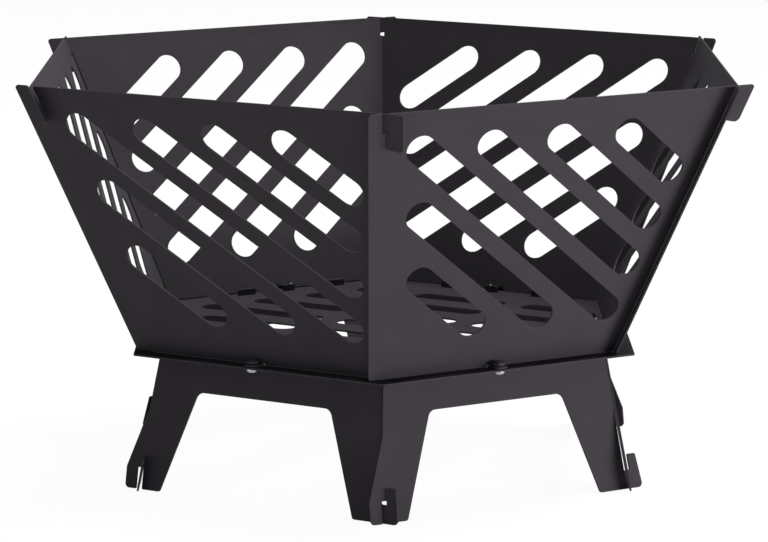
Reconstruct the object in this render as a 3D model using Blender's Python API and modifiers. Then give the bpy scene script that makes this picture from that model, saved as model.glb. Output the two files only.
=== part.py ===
"""Hexagonal fire pit of slotted sheet steel that plugs and bolts together."""
import math

import bmesh
import bpy
from mathutils import Matrix
from mathutils import Vector

MM = 0.001
SIDES = 6
SIDE_ANGLE = math.radians(60.0)
FIRST_SIDE = math.radians(-60.0)

# Whole object, in millimetres
SHEET = 1.2
RIM_RADIUS = 250.0
RIM_HEIGHT = 262.0
BOWL_FOOT_RADIUS = 168.3
PLATE_BORDER = 13.8
PLATE_TOP = 87.5
LEG_TOP_INSET = 7.0
LEG_SPREAD = 18.6
SEAT_GAP = 0.3
BOWL_CROSSING_GAP = 0.6
LEG_CROSSING_GAP = 0.3
PLUG_GAP = 0.4

# Bowl panel: its ends
STRIP_REACH = 11.2
STRIP_CORNER = 2.0
STRIP_SLOT_DEPTH = 13.6
EAR_REACH = 12.1
EAR_HEIGHT = 23.4
EAR_TOP_CORNER = 1.8
EAR_FOOT_CORNER = 3.6
EAR_SLOT_TOP = 11.0
BOWL_MOUTH = 1.1
BOWL_EDGE_CORNER = 1.0

# Bowl panel: its slanting vent slots
VENT_WIDTH = 18.7
VENT_SIDE_INSET = 23.3
VENT_TOP_INSET = 26.0
VENT_FOOT_INSET = 33.9
VENT_PITCH = 48.9
VENTS_RIGHT = 3
VENTS_LEFT = 2

# Bowl panel: the foot tab that is bolted to the plate
TAB_CENTRE = -6.3
TAB_WIDTH = 10.0
TAB_END_FROM_WALL = 11.05
TAB_CORNER = 4.0
TAB_BEND_RADIUS = 1.0
TAB_BEND_STEPS = 8
RELIEF_WIDTH = 0.8
RELIEF_RISE = 0.6

# Base plate
PLATE_CORNER = 1.8
FLOOR_SLOT_WIDTH = 16.2
FLOOR_ROW_PITCH = 34.7
FLOOR_ROWS_EACH_WAY = 3
FLOOR_MIDDLE_HALF = 34.5
FLOOR_OUTER_START = 47.3
FLOOR_SLOT_MARGIN = 5.75
FLOOR_DIRECTION = math.radians(-30.0)

# Leg panel
LEG_STRIP_REACH = 9.65
LEG_FLARE_FOOT = 13.7
LEG_FLARE_TOP = 52.4
LEG_FLARE_TOP_PAST = 1.8
LEG_TOP_PAST = 1.2
LEG_FOOT_CORNER = 3.0
LEG_SLOT_HEIGHT = 13.8
LEG_EAR_FOOT_REACH = 9.65
LEG_EAR_TOP_REACH = 8.0
LEG_EAR_HEIGHT = 22.0
LEG_EAR_CORNER = 1.2
LEG_EAR_SLOT_PAST = 1.9
LEG_EAR_SLOT_FLOOR = 11.6
LEG_EDGE_INSET = 2.2
LEG_MOUTH = 1.0
ARCH_TOP = 65.4
ARCH_TOP_LEFT_INSET = 31.7
ARCH_TOP_RIGHT_INSET = 38.1
ARCH_FOOT_LEFT_INSET = 16.2
ARCH_FOOT_RIGHT_INSET = 22.6
ARCH_CORNER = 5.2
ARCH_FOOT_CORNER = 2.0
LEG_TOP_CORNER = 1.0
PLUG_RISE = 4.5
PLUG_CORNER = 1.0
PLUGS = (
    (27.0, 13.0),
    (-5.8, 9.0),
    (-42.7, 13.0),
)

# M4 button-head screw and low hexagon nut
BOLT_FROM_WALL = 6.55
BOLT_RADIUS = 1.9
BOLT_END_CHAMFER = 0.5
BOLT_STICK_OUT = 0.8
BOLT_HOLE_CLEARANCE = 0.35
HEAD_RADIUS = 3.8
HEAD_HEIGHT = 2.2
HEAD_RIM = 0.4
HEAD_FLAT_RADIUS = 2.0
HEAD_DOME_STEPS = 3
SOCKET_ACROSS_FLATS = 2.5
SOCKET_DEPTH = 1.3
NUT_ACROSS_FLATS = 7.0
NUT_HEIGHT = 2.2
NUT_FACE_RADIUS = 3.1
NUT_BORE_CLEARANCE = 0.3
NUT_CHAMFER_SLOPE = math.tan(math.radians(30.0))
LATHE_STEPS = 20

# Steps of the rounded outlines
ARC_STEP = math.radians(18.0)
HOLE_STEPS = 16

# Sizes that follow from the ones above
APOTHEM = math.cos(SIDE_ANGLE / 2)
HALF_SIDE = math.sin(SIDE_ANGLE / 2)
PLATE_MIDDLE = PLATE_TOP - SHEET / 2
PLATE_UNDERSIDE = PLATE_TOP - SHEET


def slot_half_width(lean, gap):
    """Half the width of a slot that a neighbour's leaning sheet crosses with a gap each side."""
    cosine = math.cos(lean) ** 2 * math.cos(SIDE_ANGLE) + math.sin(lean) ** 2
    turn = math.acos(cosine)
    return SHEET / 2 / math.tan(turn / 2) + gap / math.sin(turn)


def empty_scene():
    for item in list(bpy.data.objects):
        bpy.data.objects.remove(item, do_unlink=True)


def new_collection(name):
    collection = bpy.data.collections.new(name)
    bpy.context.scene.collection.children.link(collection)
    return collection


def new_material(name, colour, roughness, metallic):
    material = bpy.data.materials.new(name)
    material.use_nodes = True
    shader = material.node_tree.nodes["Principled BSDF"]
    shader.inputs["Base Color"].default_value = (*colour, 1.0)
    shader.inputs["Roughness"].default_value = roughness
    shader.inputs["Metallic"].default_value = metallic
    return material


def rounded(corners):
    """Points of a closed outline whose corners are given as x, y and radius."""
    points = []
    count = len(corners)
    for index, (x, y, radius) in enumerate(corners):
        here = Vector((x, y))
        if radius == 0.0:
            points.append(here)
            continue
        before = Vector(corners[index - 1][:2])
        after = Vector(corners[(index + 1) % count][:2])
        to_before = (before - here).normalized()
        to_after = (after - here).normalized()
        half_angle = to_before.angle(to_after) / 2
        centre = here + (to_before + to_after).normalized() * (radius / math.sin(half_angle))
        setback = radius / math.tan(half_angle)
        first = here + to_before * setback - centre
        last = here + to_after * setback - centre
        start_angle = math.atan2(first.y, first.x)
        sweep = math.atan2(first.x * last.y - first.y * last.x, first.dot(last))
        steps = max(1, math.ceil(abs(sweep) / ARC_STEP))
        for step in range(steps + 1):
            angle = start_angle + sweep * step / steps
            points.append(centre + Vector((math.cos(angle), math.sin(angle))) * radius)
    return points


def obround(start, end, radius):
    """Points of a slot with round ends centred on start and end."""
    along = math.atan2(end.y - start.y, end.x - start.x)
    steps = round(math.pi / ARC_STEP)
    points = []
    for centre, first_angle in ((end, along - math.pi / 2), (start, along + math.pi / 2)):
        for step in range(steps + 1):
            angle = first_angle + math.pi * step / steps
            points.append(centre + Vector((math.cos(angle), math.sin(angle))) * radius)
    return points


def round_hole(centre, radius):
    points = []
    for step in range(HOLE_STEPS):
        angle = 2 * math.pi * step / HOLE_STEPS
        points.append(centre + Vector((math.cos(angle), math.sin(angle))) * radius)
    return points


def sheet_curve(name, outlines):
    """A flat sheet in the curve's own XY plane, solid both ways from it."""
    curve = bpy.data.curves.new(name, "CURVE")
    curve.dimensions = "2D"
    curve.fill_mode = "BOTH"
    curve.extrude = SHEET / 2 * MM
    for outline in outlines:
        spline = curve.splines.new("POLY")
        spline.points.add(len(outline) - 1)
        for point, place in zip(spline.points, outline):
            point.co = (place.x * MM, place.y * MM, 0.0, 1.0)
        spline.use_cyclic_u = True
    return curve


def mesh_of(source, name):
    """The evaluated shape of an object as a welded mesh of its own."""
    depsgraph = bpy.context.evaluated_depsgraph_get()
    mesh = bpy.data.meshes.new_from_object(source.evaluated_get(depsgraph))
    mesh.name = name
    work = bmesh.new()
    work.from_mesh(mesh)
    bmesh.ops.remove_doubles(work, verts=work.verts, dist=0.00001)
    work.to_mesh(mesh)
    work.free()
    return mesh


def even_fills(mesh):
    """Turn edges inside a flat sheet's two filled faces until no triangle there is a sliver."""
    work = bmesh.new()
    work.from_mesh(mesh)
    fills = [face for face in work.faces if len(face.verts) == 3]
    inner = [edge for edge in work.edges if all(len(face.verts) == 3 for face in edge.link_faces)]
    bmesh.ops.beautify_fill(work, faces=fills, edges=inner, method="ANGLE")
    work.to_mesh(mesh)
    work.free()


def add_object(name, data, collection, matrix, material):
    item = bpy.data.objects.new(name, data)
    item.matrix_world = matrix
    if not data.materials:
        data.materials.append(material)
    collection.objects.link(item)
    return item


def cut_mesh(name, body, cuts):
    """The mesh of a body after one Boolean step with each cutter and its operation."""
    for cutter, operation in cuts:
        step = body.modifiers.new(cutter.name, "BOOLEAN")
        step.operation = operation
        step.solver = "EXACT"
        step.object = cutter
    bpy.context.view_layer.update()
    return mesh_of(body, name)


def hide_cutter(cutter):
    cutter.hide_render = True
    cutter.display_type = "WIRE"
    return cutter


def turned_object(name, profile, material):
    """A piece turned about Z from radius and height pairs that run from the top down to the foot."""
    mesh = bpy.data.meshes.new(name)
    places = [(radius * MM, 0.0, height * MM) for radius, height in profile]
    edges = [(index, index + 1) for index in range(len(places) - 1)]
    mesh.from_pydata(places, edges, [])
    item = add_object(name, mesh, cutters, Matrix.Identity(4), material)
    turning = item.modifiers.new("turning", "SCREW")
    turning.axis = "Z"
    turning.steps = LATHE_STEPS
    turning.render_steps = LATHE_STEPS
    turning.use_merge_vertices = True
    turning.merge_threshold = 0.00001
    return item


def round_cutter(name, radius, low, high, material):
    """A plain cylinder about Z between two heights."""
    return cutter_prism(name, radius, LATHE_STEPS, low, high, material)


def cutter_prism(name, radius, sides, low, high, material):
    work = bmesh.new()
    bmesh.ops.create_cone(
        work,
        cap_ends=True,
        segments=sides,
        radius1=radius * MM,
        radius2=radius * MM,
        depth=(high - low) * MM,
    )
    mesh = bpy.data.meshes.new(name)
    work.to_mesh(mesh)
    work.free()
    middle = Matrix.Translation((0.0, 0.0, (low + high) / 2 * MM))
    return add_object(name, mesh, cutters, middle, material)


def smooth(mesh):
    mesh.shade_smooth()
    mesh.set_sharp_from_angle(angle=math.radians(30.0))
    return mesh


def side_turn(index):
    return Matrix.Rotation(FIRST_SIDE + SIDE_ANGLE * index, 4, "Z")


def wall_frame(apothem, height, lean):
    """Frame of a wall facing +X: X runs right as seen from outside, Y up the wall, Z outwards."""
    frame = Matrix.Identity(4)
    frame.col[0] = (0.0, 1.0, 0.0, 0.0)
    frame.col[1] = (math.sin(lean), 0.0, math.cos(lean), 0.0)
    frame.col[2] = (math.cos(lean), 0.0, -math.sin(lean), 0.0)
    frame.col[3] = (apothem * MM, 0.0, height * MM, 1.0)
    return frame


class CornerLines:
    """The two lines where a wall's middle plane meets its neighbours' middle planes."""

    def __init__(self, foot_half, top_half, rise):
        self.foot_half = foot_half
        self.slope = (top_half - foot_half) / rise
        self.angle = math.atan(self.slope)

    def level(self, side, past, height, radius):
        """A corner on a level edge, the given distance square past the line."""
        half = self.foot_half + height * self.slope + past / math.cos(self.angle)
        return (side * half, height, radius)

    def square(self, side, past, height, radius):
        """A corner square to the line from the line's own point at the given height."""
        half = self.foot_half + height * self.slope + past * math.cos(self.angle)
        return (side * half, height - past * math.sin(self.angle), radius)


# Sizes that keep the plate and the legs with the bowl's foot
bowl_foot_apothem = BOWL_FOOT_RADIUS * APOTHEM
bolt_apothem = bowl_foot_apothem + BOLT_FROM_WALL
plate_radius = BOWL_FOOT_RADIUS + PLATE_BORDER
leg_top_radius = BOWL_FOOT_RADIUS - LEG_TOP_INSET
leg_foot_radius = leg_top_radius + LEG_SPREAD
floor_outer_end = bowl_foot_apothem - FLOOR_SLOT_MARGIN

# Lean of the bowl's walls and their length up the slope
bowl_rise = RIM_HEIGHT - PLATE_TOP - SEAT_GAP
bowl_run = (RIM_RADIUS - BOWL_FOOT_RADIUS) * APOTHEM
bowl_lean = math.atan2(bowl_run, bowl_rise)
bowl_edge_drop = SHEET / 2 * math.sin(bowl_lean)
bowl_foot_height = PLATE_TOP + SEAT_GAP + bowl_edge_drop
bowl_length = (bowl_rise - 2 * bowl_edge_drop) / math.cos(bowl_lean)
bowl_lines = CornerLines(BOWL_FOOT_RADIUS * HALF_SIDE, RIM_RADIUS * HALF_SIDE, bowl_length)
bowl_slot = slot_half_width(bowl_lean, BOWL_CROSSING_GAP)
bowl_frame = wall_frame(bowl_foot_apothem, bowl_foot_height, bowl_lean)

# Lean of the legs, which narrow upwards, and their length up the slope
leg_run = (leg_top_radius - leg_foot_radius) * APOTHEM
leg_lean = math.atan2(leg_run, PLATE_MIDDLE)
leg_edge_drop = SHEET / 2 * math.sin(-leg_lean)
leg_length = (PLATE_UNDERSIDE - SEAT_GAP - 2 * leg_edge_drop) / math.cos(leg_lean)
leg_full_length = PLATE_MIDDLE / math.cos(leg_lean)
leg_lines = CornerLines(leg_foot_radius * HALF_SIDE, leg_top_radius * HALF_SIDE, leg_full_length)
leg_slot = slot_half_width(leg_lean, LEG_CROSSING_GAP)
leg_slot_outer = leg_lines.level(-1, leg_slot, 0.0, 0.0)[0]
leg_slot_inner = leg_lines.level(-1, -leg_slot, LEG_SLOT_HEIGHT, 0.0)[0]
leg_strip_end = leg_lines.level(-1, LEG_STRIP_REACH, 0.0, 0.0)[0]
leg_frame = wall_frame(leg_foot_radius * APOTHEM, leg_edge_drop, leg_lean)
plug_top = leg_length + (SHEET + SEAT_GAP + PLUG_RISE) / math.cos(leg_lean)

# Height of the tab's bend above the wall's foot edge
bend_outer_radius = TAB_BEND_RADIUS + SHEET
bend_middle_radius = TAB_BEND_RADIUS + SHEET / 2
bend_axis_height = PLATE_TOP + SEAT_GAP + bend_outer_radius
bend_rise = bend_axis_height - bowl_foot_height + bend_middle_radius * math.sin(bowl_lean)
bend_root = bend_rise / math.cos(bowl_lean)
bend_axis = Vector((TAB_CENTRE, bend_root, bend_middle_radius))
bend_apothem = (bowl_frame @ (bend_axis * MM)).x / MM
tab_length = bowl_foot_apothem + TAB_END_FROM_WALL - bend_apothem


def bowl_outline():
    left = -1
    right = 1
    top = bowl_length
    tab_left = TAB_CENTRE - TAB_WIDTH / 2
    tab_right = TAB_CENTRE + TAB_WIDTH / 2
    relief_top = bend_root + RELIEF_RISE
    ear_foot = top - EAR_HEIGHT
    return rounded([
        bowl_lines.level(left, STRIP_REACH, 0.0, STRIP_CORNER),
        (tab_left - RELIEF_WIDTH, 0.0, 0.0),
        (tab_left - RELIEF_WIDTH, relief_top, 0.0),
        (tab_left, relief_top, 0.0),
        (tab_left, bend_root, 0.0),
        (tab_right, bend_root, 0.0),
        (tab_right, relief_top, 0.0),
        (tab_right + RELIEF_WIDTH, relief_top, 0.0),
        (tab_right + RELIEF_WIDTH, 0.0, 0.0),
        bowl_lines.level(right, -bowl_slot, 0.0, BOWL_EDGE_CORNER),
        bowl_lines.square(right, -bowl_slot, top - EAR_SLOT_TOP, 0.0),
        bowl_lines.square(right, bowl_slot, top - EAR_SLOT_TOP, 0.0),
        bowl_lines.square(right, bowl_slot, ear_foot, BOWL_MOUTH),
        bowl_lines.square(right, EAR_REACH, ear_foot, EAR_FOOT_CORNER),
        bowl_lines.level(right, EAR_REACH, top, EAR_TOP_CORNER),
        bowl_lines.level(left, -bowl_slot, top, BOWL_MOUTH),
        bowl_lines.square(left, -bowl_slot, top - STRIP_SLOT_DEPTH, 0.0),
        bowl_lines.square(left, bowl_slot, top - STRIP_SLOT_DEPTH, 0.0),
        bowl_lines.level(left, bowl_slot, top, BOWL_MOUTH),
        bowl_lines.level(left, STRIP_REACH, top, STRIP_CORNER),
    ])


def vent_outlines():
    """Six parallel slots whose round ends stand on the four lines of an inset trapezoid."""
    high = bowl_length - VENT_TOP_INSET
    low = VENT_FOOT_INSET
    top_left = Vector(bowl_lines.level(-1, -VENT_SIDE_INSET, high, 0.0)[:2])
    foot_right = Vector(bowl_lines.level(1, -VENT_SIDE_INSET, low, 0.0)[:2])
    fall = (foot_right.y - top_left.y) / (foot_right.x - top_left.x)
    outlines = [obround(top_left, foot_right, VENT_WIDTH / 2)]
    for count in range(1, VENTS_RIGHT + 1):
        start = top_left + Vector((VENT_PITCH * count, 0.0))
        gap = foot_right.x + bowl_lines.slope * (start.y - low) - start.x
        run = gap / (1 - bowl_lines.slope * fall)
        end = start + Vector((run, run * fall))
        outlines.append(obround(start, end, VENT_WIDTH / 2))
    for count in range(1, VENTS_LEFT + 1):
        end = foot_right - Vector((VENT_PITCH * count, 0.0))
        gap = end.x - top_left.x - bowl_lines.slope * (high - end.y)
        run = gap / (1 + bowl_lines.slope * fall)
        start = end - Vector((run, run * fall))
        outlines.append(obround(start, end, VENT_WIDTH / 2))
    return outlines


def grow_face(work, face):
    """Extrude one face and return the new one, with nothing left inside."""
    grown = bmesh.ops.extrude_face_region(work, geom=[face])
    if face.is_valid:
        bmesh.ops.delete(work, geom=[face], context="FACES_ONLY")
    return [item for item in grown["geom"] if isinstance(item, bmesh.types.BMFace)][0]


def add_foot_tab(mesh):
    """Bend a tab outwards from the wall's foot until it lies flat over the plate."""
    work = bmesh.new()
    work.from_mesh(mesh)
    turn = math.pi / 2 + bowl_lean
    root_height = bend_root * MM
    face = None
    for candidate in work.faces:
        centre = candidate.calc_center_median()
        if candidate.normal.y < -0.99 and abs(centre.y - root_height) < 0.0001:
            face = candidate
    for step in range(TAB_BEND_STEPS):
        face = grow_face(work, face)
        step_turn = Matrix.Rotation(-turn / TAB_BEND_STEPS, 3, "X")
        bmesh.ops.rotate(work, cent=bend_axis * MM, matrix=step_turn, verts=face.verts)
    face = grow_face(work, face)
    outwards = Vector((0.0, math.sin(bowl_lean), math.cos(bowl_lean)))
    bmesh.ops.translate(work, vec=outwards * tab_length * MM, verts=face.verts)
    ends = [edge for edge in face.edges if edge.calc_length() < TAB_WIDTH / 2 * MM]
    bmesh.ops.bevel(work, geom=ends, offset=TAB_CORNER * MM, segments=3, affect="EDGES", profile=0.5)
    bmesh.ops.recalc_face_normals(work, faces=work.faces)
    work.to_mesh(mesh)
    work.free()


def leg_outline():
    left = -1
    right = 1
    top = leg_length
    corners = [
        (leg_strip_end, 0.0, LEG_FOOT_CORNER),
        (leg_slot_outer, 0.0, LEG_MOUTH),
        (leg_slot_outer, LEG_SLOT_HEIGHT, 0.0),
        (leg_slot_inner, LEG_SLOT_HEIGHT, 0.0),
        (leg_slot_inner, 0.0, LEG_MOUTH),
        leg_lines.level(left, -ARCH_FOOT_LEFT_INSET, 0.0, ARCH_FOOT_CORNER),
        leg_lines.level(left, -ARCH_TOP_LEFT_INSET, ARCH_TOP, ARCH_CORNER),
        leg_lines.level(right, -ARCH_TOP_RIGHT_INSET, ARCH_TOP, ARCH_CORNER),
        leg_lines.level(right, -ARCH_FOOT_RIGHT_INSET, 0.0, ARCH_FOOT_CORNER),
        leg_lines.level(right, LEG_EAR_FOOT_REACH, 0.0, LEG_FOOT_CORNER),
        leg_lines.level(right, LEG_EAR_TOP_REACH, LEG_EAR_HEIGHT, LEG_EAR_CORNER),
        leg_lines.level(right, LEG_EAR_SLOT_PAST, LEG_EAR_HEIGHT, LEG_MOUTH),
        leg_lines.level(right, LEG_EAR_SLOT_PAST, LEG_EAR_SLOT_FLOOR, LEG_MOUTH),
        leg_lines.level(right, -LEG_EDGE_INSET, LEG_EAR_SLOT_FLOOR, LEG_MOUTH),
        leg_lines.level(right, -leg_slot, top, LEG_TOP_CORNER),
    ]
    for centre, width in PLUGS:
        corners.append((centre + width / 2, top, 0.0))
        corners.append((centre + width / 2, plug_top, PLUG_CORNER))
        corners.append((centre - width / 2, plug_top, PLUG_CORNER))
        corners.append((centre - width / 2, top, 0.0))
    corners.append(leg_lines.level(left, LEG_TOP_PAST, top, LEG_TOP_CORNER))
    corners.append(leg_lines.level(left, LEG_FLARE_TOP_PAST, LEG_FLARE_TOP, 0.0))
    corners.append((leg_strip_end, LEG_FLARE_FOOT, 0.0))
    return rounded(corners)


def plate_outlines():
    edge = []
    for index in range(SIDES):
        angle = math.radians(90.0) + SIDE_ANGLE * index
        edge.append((plate_radius * math.cos(angle), plate_radius * math.sin(angle), PLATE_CORNER))
    outlines = [rounded(edge)]
    along = Vector((math.cos(FLOOR_DIRECTION), math.sin(FLOOR_DIRECTION)))
    across = Vector((-along.y, along.x))
    radius = FLOOR_SLOT_WIDTH / 2
    for row in range(-FLOOR_ROWS_EACH_WAY, FLOOR_ROWS_EACH_WAY + 1):
        middle = across * (FLOOR_ROW_PITCH * row)
        outer_end = floor_outer_end - abs(FLOOR_ROW_PITCH * row) * HALF_SIDE / APOTHEM
        spans = (
            (-outer_end, -FLOOR_OUTER_START),
            (-FLOOR_MIDDLE_HALF, FLOOR_MIDDLE_HALF),
            (FLOOR_OUTER_START, outer_end),
        )
        for low, high in spans:
            start = middle + along * (low + radius)
            end = middle + along * (high - radius)
            outlines.append(obround(start, end, radius))
    plug_half = SHEET / 2 / math.cos(leg_lean) + SHEET / 2 * math.tan(-leg_lean) + PLUG_GAP
    plug_apothem = leg_top_radius * APOTHEM
    for index in range(SIDES):
        turn = side_turn(index).to_2x2()
        for centre, width in PLUGS:
            half = width / 2 + PLUG_GAP
            corners = (
                Vector((plug_apothem - plug_half, centre - half)),
                Vector((plug_apothem + plug_half, centre - half)),
                Vector((plug_apothem + plug_half, centre + half)),
                Vector((plug_apothem - plug_half, centre + half)),
            )
            outlines.append([turn @ corner for corner in corners])
        hole = turn @ Vector((bolt_apothem, TAB_CENTRE))
        outlines.append(round_hole(hole, BOLT_RADIUS + BOLT_HOLE_CLEARANCE))
    return outlines


empty_scene()
parts = new_collection("fire_pit")
cutters = new_collection("cutters")

bowl_coat = new_material("bowl_coat", (0.030, 0.027, 0.029), 0.55, 0.0)
leg_coat = new_material("leg_coat", (0.033, 0.030, 0.033), 0.55, 0.0)
plate_coat = new_material("plate_coat", (0.035, 0.032, 0.035), 0.5, 0.0)
screw_zinc = new_material("screw_zinc", (0.48, 0.47, 0.50), 0.35, 1.0)
nut_black = new_material("nut_black", (0.018, 0.017, 0.018), 0.4, 0.6)

# Bowl panels: one cut and bent sheet, used six times
blank = add_object(
    "bowl_blank",
    sheet_curve("bowl_blank", [bowl_outline()] + vent_outlines()),
    cutters,
    Matrix.Identity(4),
    bowl_coat,
)
bowl_mesh = mesh_of(blank, "bowl_panel")
bpy.data.objects.remove(blank, do_unlink=True)
even_fills(bowl_mesh)
add_foot_tab(bowl_mesh)
bowl_mesh.transform(bowl_frame)
bent_panel = add_object("bent_panel", bowl_mesh, cutters, Matrix.Identity(4), bowl_coat)
hole_radius = BOLT_RADIUS + BOLT_HOLE_CLEARANCE
hole_low = PLATE_TOP - SHEET
hole_high = bend_axis_height
drill = round_cutter("tab_drill", hole_radius, hole_low, hole_high, bowl_coat)
drill.location.x = bolt_apothem * MM
drill.location.y = TAB_CENTRE * MM
drilled_mesh = cut_mesh("bowl_panel_drilled", bent_panel, [(drill, "DIFFERENCE")])
hide_cutter(drill)
bpy.data.objects.remove(bent_panel, do_unlink=True)
smooth(drilled_mesh)
for index in range(SIDES):
    add_object("bowl_panel_%d" % (index + 1), drilled_mesh, parts, side_turn(index), bowl_coat)

# Leg panels
leg_curve = sheet_curve("leg_panel", [leg_outline()])
for index in range(SIDES):
    placing = side_turn(index) @ leg_frame
    add_object("leg_panel_%d" % (index + 1), leg_curve, parts, placing, leg_coat)

# Base plate
plate_curve = sheet_curve("base_plate", plate_outlines())
add_object("base_plate", plate_curve, parts, Matrix.Translation((0.0, 0.0, PLATE_MIDDLE * MM)), plate_coat)

# Screws, put in from below, with their heads under the plate's rim
head_high = PLATE_UNDERSIDE - SEAT_GAP
head_low = head_high - HEAD_HEIGHT
nut_low = PLATE_TOP + SEAT_GAP + SHEET + SEAT_GAP
nut_high = nut_low + NUT_HEIGHT
bolt_end = nut_high + BOLT_STICK_OUT
dome = []
for step in range(HEAD_DOME_STEPS + 1):
    angle = math.pi / 2 * step / HEAD_DOME_STEPS
    dome_radius = HEAD_FLAT_RADIUS + (HEAD_RADIUS - HEAD_FLAT_RADIUS) * math.cos(angle)
    dome_height = head_high - HEAD_RIM - (HEAD_HEIGHT - HEAD_RIM) * math.sin(angle)
    dome.append((dome_radius, dome_height))
bolt_profile = [
    (0.0, bolt_end),
    (BOLT_RADIUS - BOLT_END_CHAMFER, bolt_end),
    (BOLT_RADIUS, bolt_end - BOLT_END_CHAMFER),
    (BOLT_RADIUS, head_high),
    (HEAD_RADIUS, head_high),
] + dome + [(0.0, head_low)]
turned_bolt = turned_object("turned_bolt", bolt_profile, screw_zinc)
socket_radius = SOCKET_ACROSS_FLATS / 2 / APOTHEM
socket_low = head_low - SOCKET_DEPTH
socket_high = head_low + SOCKET_DEPTH
socket = cutter_prism("socket", socket_radius, SIDES, socket_low, socket_high, screw_zinc)
bolt_mesh = smooth(cut_mesh("bolt", turned_bolt, [(socket, "DIFFERENCE")]))
hide_cutter(socket)
bpy.data.objects.remove(turned_bolt, do_unlink=True)

# Nuts, on the foot tabs
nut_radius = NUT_ACROSS_FLATS / 2 / APOTHEM
nut_turned_radius = nut_radius + SEAT_GAP
nut_chamfer = (nut_turned_radius - NUT_FACE_RADIUS) * NUT_CHAMFER_SLOPE
nut_over = SEAT_GAP * NUT_CHAMFER_SLOPE
nut_blank = cutter_prism("nut_blank", nut_radius, SIDES, nut_low, nut_high, nut_black)
nut_turning = turned_object(
    "nut_turning",
    [
        (0.0, nut_high + nut_over),
        (NUT_FACE_RADIUS - SEAT_GAP, nut_high + nut_over),
        (nut_turned_radius, nut_high - nut_chamfer),
        (nut_turned_radius, nut_low + nut_chamfer),
        (NUT_FACE_RADIUS - SEAT_GAP, nut_low - nut_over),
        (0.0, nut_low - nut_over),
    ],
    nut_black,
)
bore_radius = BOLT_RADIUS + NUT_BORE_CLEARANCE
nut_bore = round_cutter("nut_bore", bore_radius, nut_low - NUT_HEIGHT, nut_high + NUT_HEIGHT, nut_black)
nut_steps = [(nut_turning, "INTERSECT"), (nut_bore, "DIFFERENCE")]
nut_mesh = smooth(cut_mesh("nut", nut_blank, nut_steps))
nut_mesh.transform(nut_blank.matrix_world)
hide_cutter(nut_turning)
hide_cutter(nut_bore)
bpy.data.objects.remove(nut_blank, do_unlink=True)

for index in range(SIDES):
    place = side_turn(index) @ Matrix.Translation((bolt_apothem * MM, TAB_CENTRE * MM, 0.0))
    add_object("bolt_%d" % (index + 1), bolt_mesh, parts, place, screw_zinc)
    add_object("nut_%d" % (index + 1), nut_mesh, parts, place, nut_black)
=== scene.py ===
"""The looks of a hexagonal fire pit made of slotted black sheet steel."""
import math

import bmesh
import bpy
from mathutils import Matrix
from mathutils import Vector


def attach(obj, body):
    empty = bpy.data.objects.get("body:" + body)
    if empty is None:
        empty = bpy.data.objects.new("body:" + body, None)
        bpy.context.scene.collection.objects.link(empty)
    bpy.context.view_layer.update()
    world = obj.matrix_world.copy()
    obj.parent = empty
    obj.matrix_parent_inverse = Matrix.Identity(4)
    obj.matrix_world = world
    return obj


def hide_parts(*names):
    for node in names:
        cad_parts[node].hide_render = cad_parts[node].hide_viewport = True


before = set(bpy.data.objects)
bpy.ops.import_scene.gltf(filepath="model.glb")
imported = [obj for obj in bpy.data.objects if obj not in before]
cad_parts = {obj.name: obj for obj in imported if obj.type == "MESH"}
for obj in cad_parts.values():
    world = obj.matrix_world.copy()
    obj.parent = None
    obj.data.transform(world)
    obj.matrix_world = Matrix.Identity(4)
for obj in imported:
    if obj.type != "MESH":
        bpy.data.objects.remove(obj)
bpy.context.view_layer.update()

MM = 0.001
SIDES = 6
SIDE_ANGLE = math.radians(60.0)
FIRST_SIDE = math.radians(-60.0)
APOTHEM = math.cos(SIDE_ANGLE / 2)
HALF_SIDE = math.sin(SIDE_ANGLE / 2)

# Camera of the photograph
CAMERA_PLACE = (-0.0088, -2.3109, 0.5486)
CAMERA_PITCH = 0.1817
CAMERA_TURN = -0.0038
SENSOR_WIDTH = 36.0
FOCAL_LENGTH = 168.92
SHIFT_X = 0.0006
SHIFT_Y = -0.0006

# Whole object, in millimetres
SHEET = 1.2
RIM_RADIUS = 250.0
RIM_HEIGHT = 262.0
BOWL_FOOT_RADIUS = 168.3
PLATE_RADIUS = 182.1
PLATE_TOP = 87.5
LEG_TOP_RADIUS = 161.3
LEG_FOOT_RADIUS = 179.9
SEAT_GAP = 0.3
BOWL_CROSSING_GAP = 0.6
LEG_CROSSING_GAP = 0.3
PLUG_GAP = 0.4
PLATE_UNDERSIDE = PLATE_TOP - SHEET
PLATE_MIDDLE = PLATE_TOP - SHEET / 2

# Bowl wall: its ends
STRIP_REACH = 11.2
STRIP_CORNER = 2.0
STRIP_SLOT_DEPTH = 13.6
EAR_REACH = 12.1
EAR_HEIGHT = 23.4
EAR_TOP_CORNER = 1.8
EAR_FOOT_CORNER = 3.6
EAR_SLOT_TOP = 11.0
BOWL_MOUTH = 1.1
BOWL_EDGE_CORNER = 1.0

# Bowl wall: its slanting vent slots
VENT_WIDTH = 18.7
VENT_SIDE_INSET = 23.3
VENT_TOP_INSET = 26.0
VENT_FOOT_INSET = 33.9
VENT_PITCH = 48.9
VENTS_RIGHT = 3
VENTS_LEFT = 2

# Bowl wall: the foot tab that is bolted to the plate
TAB_CENTRE = -6.3
TAB_WIDTH = 10.0
TAB_END_FROM_WALL = 11.05
TAB_CORNER = 4.0
TAB_BEND_RADIUS = 1.0
TAB_BEND_STEPS = 10
RELIEF_WIDTH = 0.8
RELIEF_RISE = 0.6

# Floor plate
PLATE_CORNER = 1.8
FLOOR_SLOT_WIDTH = 16.2
FLOOR_ROW_PITCH = 34.7
FLOOR_ROWS_EACH_WAY = 3
FLOOR_MIDDLE_HALF = 34.5
FLOOR_OUTER_START = 47.3
FLOOR_OUTER_END = 140.0
FLOOR_DIRECTION = math.radians(-30.0)

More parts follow.
